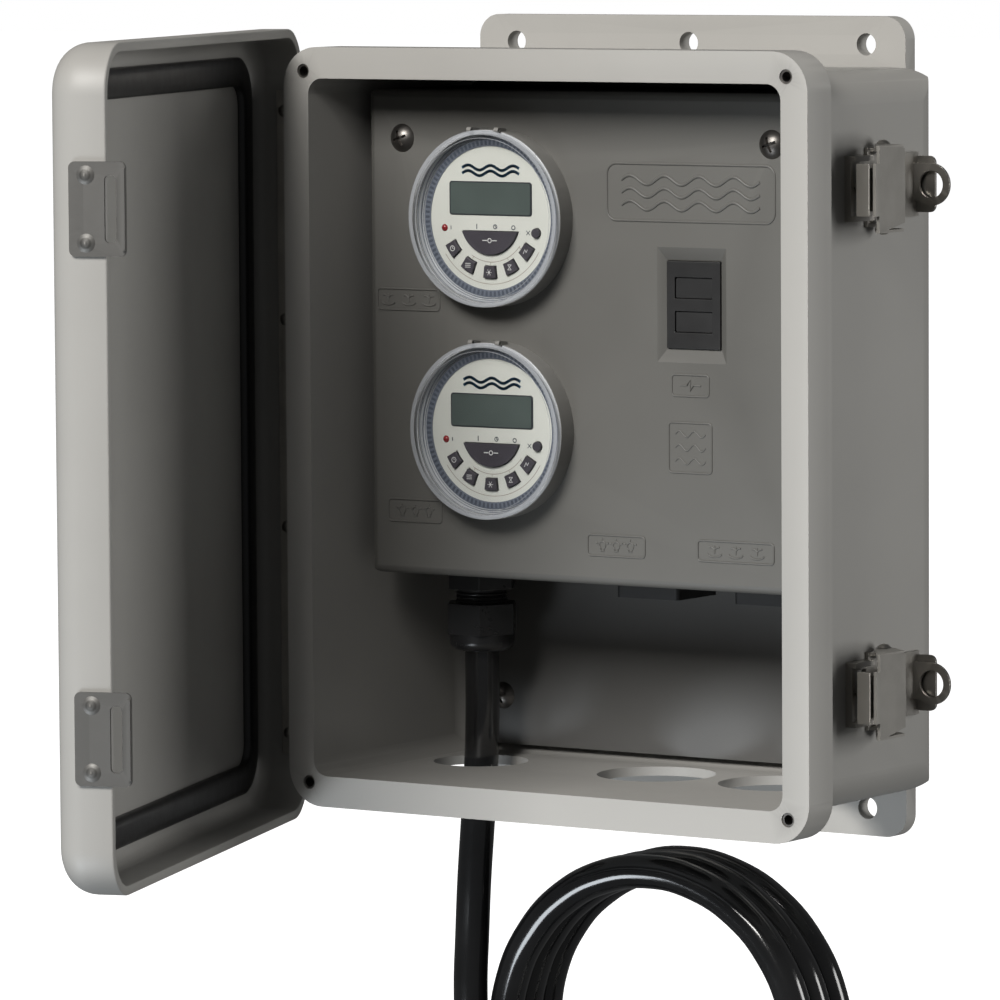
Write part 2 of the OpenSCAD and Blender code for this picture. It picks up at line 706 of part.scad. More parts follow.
module latch_pivots() color(STEEL) for (z = latch_z, s = [-1, 1]) translate([pivot_x, pivot_y, z]) {
    bar_z(pivot_r, min(s * 14, s * 18.6), max(s * 14, s * 18.6));
    translate([0, 0, s * 18.4]) rotate([s > 0 ? 0 : 180, 0, 0]) dome_head(3, 1.6);
    bar_z(2.4, min(s * 13.6, s * 15), max(s * 13.6, s * 15));
}

enclosure_body();
rim_inserts();
back_plate();
back_plate_screws();
dead_front_panel();
panel_screws();
panel_posts();
timer_housing(0);  // timer_1_housing
timer_housing(1);  // timer_2_housing
timer_dial(0);  // timer_1_dial
timer_dial(1);  // timer_2_dial
timer_display(0);  // timer_1_display
timer_display(1);  // timer_2_display
timer_leds();
timer_cover(0);  // timer_1_cover
timer_cover(1);  // timer_2_cover
timer_manual(0);  // timer_1_manual_button
timer_key(0, 0);  // timer_1_clock_button
timer_key(0, 1);  // timer_1_program_button
timer_key(0, 2);  // timer_1_day_button
timer_key(0, 3);  // timer_1_hour_button
timer_key(0, 4);  // timer_1_minute_button
timer_reset(0);  // timer_1_reset_button
timer_manual(1);  // timer_2_manual_button
timer_key(1, 0);  // timer_2_clock_button
timer_key(1, 1);  // timer_2_program_button
timer_key(1, 2);  // timer_2_day_button
timer_key(1, 3);  // timer_2_hour_button
timer_key(1, 4);  // timer_2_minute_button
timer_reset(1);  // timer_2_reset_button
gfci_body();
gfci_button(-1);  // gfci_test_button
gfci_button(1);  // gfci_reset_button
outlet(outlet_x[0]);  // outlet_left
outlet(outlet_x[1]);  // outlet_right
terminal_block();
cord_gland_body();
cord_gland_nut();
cord_gland_locknut();
supply_cord();
cord_coil();
cord_plug();
plug_blades();
cord_ties();
door();
door_gasket();
hinge_body_leaf();
hinge_door_leaf();
hinge_pin();
hinge_rivets();
striker(latch_z[0]);  // striker_upper
striker(latch_z[1]);  // striker_lower
striker_rivets();
latch_base(latch_z[0]);  // latch_upper_base
latch_base(latch_z[1]);  // latch_lower_base
latch_lever(latch_z[0]);  // latch_upper_lever
latch_lever(latch_z[1]);  // latch_lower_lever
latch_hook(latch_z[0]);  // latch_upper_hook
latch_hook(latch_z[1]);  // latch_lower_hook
latch_pivots();
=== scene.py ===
import bpy
import bmesh
import json
import math
from mathutils import Matrix, Vector

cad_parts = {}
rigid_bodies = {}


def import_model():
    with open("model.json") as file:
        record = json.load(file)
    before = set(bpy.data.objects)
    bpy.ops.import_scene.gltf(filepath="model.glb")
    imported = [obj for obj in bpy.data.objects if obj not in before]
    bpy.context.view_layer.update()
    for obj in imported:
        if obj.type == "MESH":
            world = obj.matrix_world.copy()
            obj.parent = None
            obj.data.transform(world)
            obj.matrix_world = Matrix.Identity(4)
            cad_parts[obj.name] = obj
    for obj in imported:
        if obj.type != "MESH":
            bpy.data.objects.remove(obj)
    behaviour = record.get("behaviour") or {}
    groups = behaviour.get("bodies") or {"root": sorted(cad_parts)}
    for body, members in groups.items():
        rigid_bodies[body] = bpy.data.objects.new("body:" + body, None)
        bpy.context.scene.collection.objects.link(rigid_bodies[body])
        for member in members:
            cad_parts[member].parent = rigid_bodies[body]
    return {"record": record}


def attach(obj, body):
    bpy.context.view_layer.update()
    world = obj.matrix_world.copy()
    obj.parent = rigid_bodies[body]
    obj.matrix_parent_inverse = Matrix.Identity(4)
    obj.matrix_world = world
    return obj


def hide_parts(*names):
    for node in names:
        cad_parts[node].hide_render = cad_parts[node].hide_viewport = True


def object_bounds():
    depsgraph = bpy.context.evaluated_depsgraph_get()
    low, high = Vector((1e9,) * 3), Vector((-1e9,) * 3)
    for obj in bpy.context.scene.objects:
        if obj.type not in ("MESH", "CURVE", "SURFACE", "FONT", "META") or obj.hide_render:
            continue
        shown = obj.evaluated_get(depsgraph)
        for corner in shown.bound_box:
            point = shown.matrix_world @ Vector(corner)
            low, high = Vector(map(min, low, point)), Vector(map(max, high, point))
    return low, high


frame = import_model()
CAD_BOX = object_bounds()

MM = 0.001
NODES = [part["node"] for part in frame["record"]["subparts"]]
TIMER_X = -44.0
TIMER_Z = (91.5, 0.0)
PANEL_Y = -92.0
DIAL_Y = -98.0
KEY_Y = -99.4
COVER_Y = -105.05
DOOR_ANGLE = math.radians(-71)
HINGE = Vector((-135.1, -103.7, 0)) * MM

# ---- camera ----

cam_data = bpy.data.cameras.new("camera")
cam = bpy.data.objects.new("camera", cam_data)
bpy.context.scene.collection.objects.link(cam)
bpy.context.scene.camera = cam
cam_data.lens = 256.08
cam_data.sensor_width = 36
cam_data.clip_end = 60
DISTANCE = 3.18346
target = Vector((-0.10581, 0, -0.04023))
azimuth, elevation, roll = (math.radians(v) for v in (33.8, 4.9913, -0.3635))
look = Vector((-math.sin(azimuth) * math.cos(elevation),
               math.cos(azimuth) * math.cos(elevation), -math.sin(elevation)))
right = Vector((math.cos(azimuth), math.sin(azimuth), 0))
up = right.cross(look)
right, up = (right * math.cos(roll) + up * math.sin(roll)), (up * math.cos(roll) - right * math.sin(roll))
cam.matrix_world = (Matrix.Translation(target - look * DISTANCE)
                    @ Matrix((right, up, -look)).transposed().to_4x4())
bpy.context.scene.view_settings.view_transform = "Standard"

# ---- shape helpers ----


def link(obj, material=None, body="enclosure", smooth=True):
    bpy.context.scene.collection.objects.link(obj)
    if material:
        obj.data.materials.append(material)
    if smooth and obj.type == "MESH":
        for face in obj.data.polygons:
            face.use_smooth = True
    if body:
        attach(obj, body)
    return obj


def from_bmesh(name, bm, material, body="enclosure", smooth=True, sharp=32):
    bmesh.ops.remove_doubles(bm, verts=bm.verts, dist=1e-7)
    bmesh.ops.recalc_face_normals(bm, faces=bm.faces)
    mesh = bpy.data.meshes.new(name)
    bm.to_mesh(mesh)
    bm.free()
    obj = link(bpy.data.objects.new(name, mesh), material, body, smooth)
    if smooth:
        mesh.set_sharp_from_angle(angle=math.radians(sharp))
    return obj


def soften(obj, width, segments=2, angle=38):
    weld = obj.modifiers.new("weld", "WELD")
    weld.merge_threshold = 1e-6
    mod = obj.modifiers.new("soft edges", "BEVEL")
    mod.width = width * MM
    mod.segments = segments
    mod.limit_method = "ANGLE"
    mod.angle_limit = math.radians(angle)
    mod.harden_normals = False
    mod.use_clamp_overlap = True
    normals = obj.modifiers.new("even shading", "WEIGHTED_NORMAL")
    normals.keep_sharp = True
    normals.weight = 50
    return obj


def ring_points(w, h, r, steps=6, cx=0.0, cz=0.0):
    """Rounded rectangle outline in the XZ plane, in mm."""
    pts = []
    for k, (sx, sz) in enumerate(((1, 1), (-1, 1), (-1, -1), (1, -1))):
        for i in range(steps + 1):
            a = math.radians(90 * k + 90 * i / steps)
            pts.append((cx + sx * (w / 2 - r) + r * math.cos(a), cz + sz * (h / 2 - r) + r * math.sin(a)))
    return pts


def circle_points(r, n=48, cx=0.0, cz=0.0, a0=0.0, a1=360.0):
    steps = n if abs(a1 - a0) >= 360 else n - 1
    turn = [math.radians(a0 + (a1 - a0) * i / steps) for i in range(n)]
    return [(cx + r * math.cos(a), cz + r * math.sin(a)) for a in turn]


def plate(bm, outline, y_front, y_back, edge=0.0):
    """Solid slab with the outline's XZ shape, its front edge eased by edge mm."""
    cx = sum(p[0] for p in outline) / len(outline)
    cz = sum(p[1] for p in outline) / len(outline)

    def loop(y, inset):
        out = []
        for x, z in outline:
            d = math.hypot(x - cx, z - cz) or 1
            out.append(bm.verts.new(Vector((x - (x - cx) / d * inset, y, z - (z - cz) / d * inset)) * MM))
        return out
    loops = [loop(y_back, 0), loop(y_front + edge, 0)]
    if edge:
        loops += [loop(y_front + edge * 0.3, edge * 0.3), loop(y_front, edge)]
    for a, b in zip(loops, loops[1:]):
        for i in range(len(a)):
            j = (i + 1) % len(a)
            bm.faces.new((a[i], a[j], b[j], b[i]))
    bm.faces.new(loops[0])
    bm.faces.new(loops[-1][::-1])


def band(bm, outer, inner, y_front, y_back, edge=0.0):
    """Flat ring between two outlines with the same number of points."""
    n = len(outer)

    def loop(pts, y):
        return [bm.verts.new(Vector((x, y, z)) * MM) for x, z in pts]

    def mix(a, b, t):
        return [(p[0] + (q[0] - p[0]) * t, p[1] + (q[1] - p[1]) * t) for p, q in zip(a, b)]
    if edge:
        loops = [loop(outer, y_back), loop(outer, y_front + edge), loop(mix(outer, inner, 0.2), y_front),
                 loop(mix(outer, inner, 0.8), y_front), loop(inner, y_front + edge), loop(inner, y_back)]
    else:
        loops = [loop(outer, y_back), loop(outer, y_front), loop(inner, y_front), loop(inner, y_back)]
    for k in range(len(loops)):
        a, b = loops[k], loops[(k + 1) % len(loops)]
        for i in range(n):
            j = (i + 1) % n
            bm.faces.new((a[i], a[j], b[j], b[i]))


def rod(bm, points, radius, sides=8, closed=False):
    """Round bead along a list of points, in mm."""
    pts = [Vector(p) for p in points]
    n = len(pts)
    rings = []
    for i, p in enumerate(pts):
        a = pts[(i - 1) % n] if closed else pts[max(i - 1, 0)]
        b = pts[(i + 1) % n] if closed else pts[min(i + 1, n - 1)]
        t = (b - a).normalized()
        ref = Vector((0, 1, 0)) if abs(t.y) < 0.9 else Vector((1, 0, 0))
        u = ref.cross(t).normalized()
        v = t.cross(u)
        turn = [2 * math.pi * k / sides for k in range(sides)]
        rings.append([bm.verts.new((p + (u * math.cos(q) + v * math.sin(q)) * radius) * MM) for q in turn])
    for i in range(n if closed else n - 1):
        a, b = rings[i], rings[(i + 1) % n]
        for k in range(sides):
            j = (k + 1) % sides
            bm.faces.new((a[k], a[j], b[j], b[k]))
    if not closed:
        bm.faces.new(rings[0])
        bm.faces.new(rings[-1][::-1])


def lathe(bm, profile, centre, axis="Y", steps=64):
    """Turns a profile of (radius, position along the axis) round an axis through centre, in mm."""
    rings = []
    for r, s in profile:
        ring = []
        for k in range(steps):
            a = 2 * math.pi * k / steps
            c, d = r * math.cos(a), r * math.sin(a)
            p = {"X": (s, c, d), "Y": (c, s, d), "Z": (c, d, s)}[axis]
            ring.append(bm.verts.new((Vector(p) + Vector(centre)) * MM))
        rings.append(ring)
    for a, b in zip(rings, rings[1:]):
        for k in range(steps):
            j = (k + 1) % steps
            bm.faces.new((a[k], a[j], b[j], b[k]))
    if profile[0] != profile[-1]:
        for ring, r in ((rings[0], profile[0][0]), (rings[-1], profile[-1][0])):
            if r > 1e-6:
                bm.faces.new(ring)


# ---- materials ----


def material(name, color, rough, metallic=0.0, grain=(900, 0.12, 0.05), mottle=(14, 0.06), wear=0.0,
             specular=0.5, coat=0.0, rough_var=0.08, brushed=None, alpha=1.0, sheen=0.0):
    """Procedural finish: colour that wanders a little, uneven gloss, fine grain and rubbed edges."""
    m = bpy.data.materials.new(name)
    m.use_nodes = True
    nt = m.node_tree
    bsdf = nt.nodes["Principled BSDF"]
    bsdf.inputs["Metallic"].default_value = metallic
    bsdf.inputs["Specular IOR Level"].default_value = specular
    bsdf.inputs["Coat Weight"].default_value = coat
    bsdf.inputs["Sheen Weight"].default_value = sheen
    bsdf.inputs["Alpha"].default_value = alpha
    coord = nt.nodes.new("ShaderNodeTexCoord")

    def noise_node(scale, detail, stretch=None):
        n = nt.nodes.new("ShaderNodeTexNoise")
        n.inputs["Scale"].default_value = scale
        n.inputs["Detail"].default_value = detail
        if stretch:
            mapping = nt.nodes.new("ShaderNodeMapping")
            mapping.inputs["Scale"].default_value = stretch
            nt.links.new(coord.outputs["Object"], mapping.inputs["Vector"])
            nt.links.new(mapping.outputs["Vector"], n.inputs["Vector"])
        else:
            nt.links.new(coord.outputs["Object"], n.inputs["Vector"])
        return n.outputs["Fac"]

    big = noise_node(mottle[0], 5)
    ramp = nt.nodes.new("ShaderNodeValToRGB")
    lo, hi = (1 - mottle[1]), (1 + mottle[1])
    ramp.color_ramp.elements[0].position = 0.32
    ramp.color_ramp.elements[0].color = [c * lo for c in color] + [1]
    ramp.color_ramp.elements[1].position = 0.68
    ramp.color_ramp.elements[1].color = [c * hi for c in color] + [1]
    nt.links.new(big, ramp.inputs["Fac"])
    colour = ramp.outputs["Color"]
    if wear:
        geo = nt.nodes.new("ShaderNodeNewGeometry")
        edge = nt.nodes.new("ShaderNodeMapRange")
        edge.inputs["From Min"].default_value = 0.53
        edge.inputs["From Max"].default_value = 0.62
        edge.inputs["To Max"].default_value = wear
        nt.links.new(geo.outputs["Pointiness"], edge.inputs["Value"])
        mix = nt.nodes.new("ShaderNodeMix")
        mix.data_type = "RGBA"
        mix.inputs["B"].default_value = [min(1, c * 1.6 + 0.03) for c in color] + [1]
        nt.links.new(edge.outputs["Result"], mix.inputs["Factor"])
        nt.links.new(colour, mix.inputs["A"])
        colour = mix.outputs["Result"]
    nt.links.new(colour, bsdf.inputs["Base Color"])
    spread = nt.nodes.new("ShaderNodeMapRange")
    spread.inputs["To Min"].default_value = max(0.02, rough - rough_var)
    spread.inputs["To Max"].default_value = min(1, rough + rough_var)
    nt.links.new(noise_node(mottle[0] * 6, 4, brushed), spread.inputs["Value"])
    nt.links.new(spread.outputs["Result"], bsdf.inputs["Roughness"])
    bump = nt.nodes.new("ShaderNodeBump")
    bump.inputs["Strength"].default_value = grain[1]
    bump.inputs["Distance"].default_value = grain[2] * MM
    nt.links.new(noise_node(grain[0], 3, brushed), bump.inputs["Height"])
    nt.links.new(bump.outputs["Normal"], bsdf.inputs["Normal"])
    return m


SHELL = material("moulded_shell", (0.305, 0.298, 0.282), 0.5, grain=(1400, 0.25, 0.06),
                 mottle=(9, 0.035), wear=0.35)
PANEL = material("panel_plastic", (0.092, 0.090, 0.083), 0.52, grain=(1500, 0.3, 0.06),
                 mottle=(10, 0.06), wear=0.3)
PLATE = material("plate_paint", (0.10, 0.099, 0.096), 0.5, grain=(600, 0.2, 0.05),
                 mottle=(12, 0.05))
STEEL = material("stainless_steel", (0.36, 0.345, 0.32), 0.34, metallic=1.0,
                 grain=(420, 0.18, 0.03), mottle=(60, 0.10), wear=0.6, brushed=(1, 1, 9), rough_var=0.12)
LATCH_STEEL = material("latch_steel", (0.24, 0.231, 0.213), 0.42, metallic=0.5,
                       grain=(420, 0.2, 0.03), mottle=(60, 0.10), wear=0.6, brushed=(1, 1, 9),
                       rough_var=0.12)
DARK_STEEL = material("dark_steel", (0.17, 0.16, 0.15), 0.4, metallic=1.0, grain=(500, 0.2, 0.03),
                      mottle=(60, 0.1), wear=0.4)
STRIKER = material("brushed_plate", (0.062, 0.060, 0.056), 0.5, metallic=0.55,
                   grain=(420, 0.25, 0.04), mottle=(60, 0.10), wear=0.8, brushed=(1, 1, 9), rough_var=0.12)
BRASS = material("brass", (0.42, 0.33, 0.16), 0.35, metallic=1.0, grain=(900, 0.2, 0.03),
                 mottle=(80, 0.12))
BLACK = material("black_plastic", (0.012, 0.012, 0.0125), 0.3, grain=(900, 0.15, 0.04),
                 mottle=(30, 0.2), wear=0.15)
OUTLET = material("outlet_plastic", (0.015, 0.015, 0.0155), 0.45, grain=(1200, 0.2, 0.04),
                  mottle=(30, 0.15), wear=0.2)
CORD = material("cord_jacket", (0.010, 0.010, 0.0104), 0.13, grain=(260, 0.05, 0.08),
                mottle=(40, 0.25), rough_var=0.04, specular=0.8)
GASKET = material("gasket_rubber", (0.013, 0.013, 0.0135), 0.36, grain=(700, 0.08, 0.03),
                  mottle=(25, 0.1))
SEAT = material("lens_seat", (0.50, 0.52, 0.54), 0.3, grain=(1500, 0.15, 0.03), mottle=(30, 0.04))
DIAL = material("dial_white", (0.66, 0.675, 0.625), 0.42, grain=(1600, 0.12, 0.02),
                mottle=(50, 0.02))
LCD = material("display_glass", (0.080, 0.102, 0.095), 0.22, grain=(900, 0.03, 0.01),
               mottle=(60, 0.08), coat=0.4)
LCD_FRAME = material("display_frame", (0.030, 0.035, 0.040), 0.35, grain=(1200, 0.1, 0.02),
                     mottle=(70, 0.1))
TICK = material("tick_ring", (0.145, 0.165, 0.205), 0.45, grain=(1600, 0.1, 0.02),
                mottle=(60, 0.06))
TICK_MARK = material("tick_mark", (0.070, 0.084, 0.112), 0.5, grain=(1800, 0.1, 0.01),
                     mottle=(90, 0.15))
INK = material("dial_ink", (0.035, 0.045, 0.065), 0.5, grain=(1800, 0.1, 0.01), mottle=(90, 0.15))
LIGHT_INK = material("light_ink", (0.60, 0.61, 0.60), 0.5, grain=(1800, 0.1, 0.01),
                     mottle=(90, 0.05))
BLUE = material("dial_blue", (0.008, 0.055, 0.115), 0.45, grain=(1800, 0.1, 0.01),
                mottle=(90, 0.06))
TAN = material("guide_ink", (0.30, 0.25, 0.21), 0.5, grain=(1800, 0.1, 0.01), mottle=(90, 0.06))
RED = material("indicator_red", (0.25, 0.015, 0.018), 0.25, grain=(1500, 0.1, 0.01),
               mottle=(90, 0.1), coat=0.3)
BUTTON = material("button_rubber", (0.046, 0.041, 0.052), 0.55, grain=(1800, 0.2, 0.02),
                  mottle=(60, 0.1), wear=0.2)
HOUSING = material("timer_housing", (0.19, 0.186, 0.175), 0.5, grain=(1500, 0.2, 0.05),
                   mottle=(30, 0.04), wear=0.2)
CLEAR = material("clear_cover", (0.05, 0.055, 0.06), 0.06, grain=(300, 0.03, 0.01),
                 mottle=(20, 0.03), alpha=0.05, rough_var=0.02, specular=1.0)
# pale, half-opaque finish for the clear cover's moulded rings and border: painted sheen, a light colour
# standing in for the reflections on the clear plastic's edge
CLEAR_RIM_SHEEN = material("clear_rim_painted_sheen", (0.48, 0.50, 0.53), 0.12, grain=(400, 0.05, 0.01),
                     mottle=(20, 0.04), alpha=0.5, rough_var=0.04, specular=1.0)

FINISH = {
    "moulded_shell": SHELL, "panel_plastic": PANEL, "plate_paint": PLATE, "stainless_steel": STEEL,
    "brass": BRASS, "black_plastic": BLACK, "outlet_plastic": OUTLET, "cord_jacket": CORD,
    "gasket_rubber": GASKET, "dial_white": DIAL, "display_glass": LCD, "indicator_red": RED,
    "button_rubber": BUTTON, "clear_cover": CLEAR,
}
for part in frame["record"]["subparts"]:
    obj = bpy.data.objects[part["node"]]
    obj.data.materials.clear()
    obj.data.materials.append(FINISH[part["material_slot"]])
OWN_FINISH = {
    "striker_upper": STRIKER, "striker_lower": STRIKER, "striker_rivets": STRIKER,
    "latch_upper_lever": LATCH_STEEL, "latch_lower_lever": LATCH_STEEL,
    "panel_screws": DARK_STEEL, "back_plate_screws": DARK_STEEL, "rim_inserts": DARK_STEEL,
    "timer_1_housing": HOUSING, "timer_2_housing": HOUSING,
}
for name, finish in OWN_FINISH.items():
    bpy.data.objects[name].data.materials[0] = finish

# ---- supply cord: out of the gland, through the floor, one bend under the coil, three turns, tail ----

CORD_D = 15.2
COIL = Vector((-1, 0, -272))
COIL_R = 76.5
COIL_Y = -40.0
COIL_PITCH = 15.4
LEAD_IN = 15.5
LAST_ANGLE = 1260
drop = [
    (-85, -46, -48), (-85, -46, -75), (-85, -46, -102), (-85, -46, -130), (-86, -46, -155),
    (-88, -46, -180), (-90, -46, -205), (-92, -45, -230), (-93, -45, -252), (-93, -44, -272),
    (-91.6, -43, -288), (-87.5, -42.5, -303.5), (-80.7, -42, -318), (-71, -41.5, -331),
    (-59, -41, -341.5), (-45.5, -40.5, -349),
]


def smooth_step(t):
    t = min(1, max(0, t))
    return t * t * (3 - 2 * t)


def coil_point(deg):
    r = COIL_R + LEAD_IN * (1 - smooth_step((deg - 208) / 100.0))
    y = COIL_Y + COIL_PITCH * (smooth_step((deg - 555) / 90.0) + smooth_step((deg - 915) / 90.0))
    a = math.radians(deg)
    return (COIL.x + r * math.cos(a), y, COIL.z + r * math.sin(a))


cord_line = drop + [coil_point(252 + 18 * k) for k in range(57)]
end = coil_point(LAST_ANGLE)
cord_line[-1] = end
cord_line += [(end[0], end[1], end[2] - down) for down in (14, 30, 46, 58)]
curve = bpy.data.curves.new("supply_lead", "CURVE")
curve.dimensions = "3D"
curve.bevel_depth = CORD_D / 2 * MM
curve.bevel_resolution = 8
curve.resolution_u = 6
curve.use_fill_caps = True
spline = curve.splines.new("BEZIER")
spline.bezier_points.add(len(cord_line) - 1)
for point, at in zip(spline.bezier_points, cord_line):
    point.co = Vector(at) * MM
    point.handle_left_type = point.handle_right_type = "AUTO"
lead = link(bpy.data.objects.new("supply_lead", curve), CORD, "enclosure", smooth=False)
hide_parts("supply_cord", "cord_coil")

# ---- softer edges on the carried-over parts ----

EDGES = {
    "back_plate": 0.4, "terminal_block": 0.5, "outlet_left": 0.5, "outlet_right": 0.5,
    "cord_gland_body": 0.4, "cord_gland_nut": 0.5, "cord_gland_locknut": 0.4,
    "cord_plug": 1.2, "plug_blades": 0.3, "cord_ties": 0.3,
    "gfci_body": 0.3, "gfci_test_button": 0.35, "gfci_reset_button": 0.35,
    "hinge_body_leaf": 0.2, "hinge_door_leaf": 0.2,
    "latch_upper_base": 0.3, "latch_lower_base": 0.3, "latch_upper_lever": 0.35,
    "latch_lower_lever": 0.35, "latch_upper_hook": 0.3, "latch_lower_hook": 0.3,
}
for name in NODES:
    obj = bpy.data.objects[name]
    if name.endswith("_button") and name.startswith("timer"):
        soften(obj, 0.28, 2)
    elif name in EDGES:
        soften(obj, EDGES[name], 3 if EDGES[name] > 0.6 else 2)

# ---- door: one moulded pan, lofted from its free edge to its front and back in again ----


def on_door(bm):
    bmesh.ops.rotate(bm, verts=bm.verts, cent=HINGE, matrix=Matrix.Rotation(DOOR_ANGLE, 3, "Z"))


def loft(bm, loops):
    rows = [[bm.verts.new(Vector((x, y, z)) * MM) for x, z in pts] for pts, y in loops]
    for a, b in zip(rows, rows[1:]):
        for i in range(len(a)):
            j = (i + 1) % len(a)
            bm.faces.new((a[i], a[j], b[j], b[i]))
    return rows


DOOR_W, DOOR_H, DOOR_R = 280.0, 345.0, 21.0
DOOR_BACK, DOOR_FRONT, DOOR_IN = -108.0, -134.0, -130.5
DOOR_WALL, DOOR_EDGE, DOOR_IN_EDGE, FLAT_INSET = 4, 14, 7, 40
loops = []


def door_loop(inset, y):
    outline = ring_points(DOOR_W - 2 * inset, DOOR_H - 2 * inset, max(DOOR_R - inset, 1.2), 14)
    loops.append((outline, y))


door_loop(FLAT_INSET, DOOR_IN)
for k in range(9):
    a = math.radians(11.25 * k)
    door_loop(DOOR_WALL + DOOR_IN_EDGE * (1 - math.sin(a)), DOOR_IN + DOOR_IN_EDGE * (1 - math.cos(a)))
for inset, rise in ((DOOR_WALL, 0.5), (3.85, 0.15), (3.5, 0), (0.6, 0), (0.15, 0.2), (0, 0.6)):
    door_loop(inset, DOOR_BACK - rise)
for k in range(13):
    a = math.radians(7.5 * k)
    door_loop(DOOR_EDGE * (1 - math.cos(a)), DOOR_FRONT + DOOR_EDGE * (1 - math.sin(a)))
door_loop(FLAT_INSET, DOOR_FRONT)
bm = bmesh.new()
rows = loft(bm, loops)
bm.faces.new(rows[0])
bm.faces.new(rows[-1][::-1])
on_door(bm)
shell = from_bmesh("door_shell", bm, SHELL, "door", sharp=50)
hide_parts("door")

# gasket: a soft black band with a low crown, laid in the pan
bm = bmesh.new()
outer, inner = (257.0, 321.0, 20.0), (232.0, 296.0, 9.0)


def between(t, y):
    w, h, r = (outer[i] + (inner[i] - outer[i]) * t for i in range(3))
    return (ring_points(w, h, r, 12), y)


SEAL_PROFILE = ((0, -130.45), (0, -127.9), (0.08, -127.2), (0.3, -126.95), (0.7, -126.95),
                (0.92, -127.2), (1, -127.9), (1, -130.45))
rows = loft(bm, [between(t, y) for t, y in SEAL_PROFILE])
for i in range(len(rows[0])):
    j = (i + 1) % len(rows[0])
    bm.faces.new((rows[-1][i], rows[-1][j], rows[0][j], rows[0][i]))
on_door(bm)
seal = from_bmesh("door_seal", bm, GASKET, "door", sharp=60)
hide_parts("door_gasket")

# ---- timer faces ----


def sector(bm, r0, r1, a0, a1, y, cx, cz, steps=1, thick=0.12):
    """Thin raised piece of a ring."""
    outer = circle_points(r1, steps + 1, cx, cz, a0, a1)
    inner = circle_points(r0, steps + 1, cx, cz, a0, a1)
    plate(bm, outer + inner[::-1], y - thick, y)


def stroke(bm, points, width, y, thick=0.15):
    """Flat printed or moulded line of some width along XZ points."""
    for (x0, z0), (x1, z1) in zip(points, points[1:]):
        d = math.hypot(x1 - x0, z1 - z0)
        if d < 1e-6:
            continue
        nx, nz = -(z1 - z0) / d * width / 2, (x1 - x0) / d * width / 2
        ex, ez = (x1 - x0) / d * width * 0.2, (z1 - z0) / d * width * 0.2
        plate(bm, [(x0 + nx - ex, z0 + nz - ez), (x0 - nx - ex, z0 - nz - ez), (x1 - nx + ex, z1 - nz + ez),
                   (x1 + nx + ex, z1 + nz + ez)], y - thick, y)


def wave(x0, x1, z, height, cycles, n=40):
    return [(x0 + (x1 - x0) * i / n, z + height * math.sin(2 * math.pi * cycles * i / n))
            for i in range(n + 1)]


# radius and height of the lens seat's section, from the dial outwards and back
SEAT_PROFILE = [
    (34.15, 1.0), (34.2, -0.5), (34.5, -0.72), (34.9, -0.5), (35.2, -0.62), (35.9, -2.6), (36.4, -3.86),
    (37.6, -3.92), (37.95, -3.75), (38.0, -3.6), (36.3, -3.5), (36.0, 1.0), (34.15, 1.0),
]


def round_band(bm, r_out, r_in, x, z, y_front, y_back, edge=0.0, n=128):
    band(bm, circle_points(r_out, n, x, z), circle_points(r_in, n, x, z), y_front, y_back, edge)


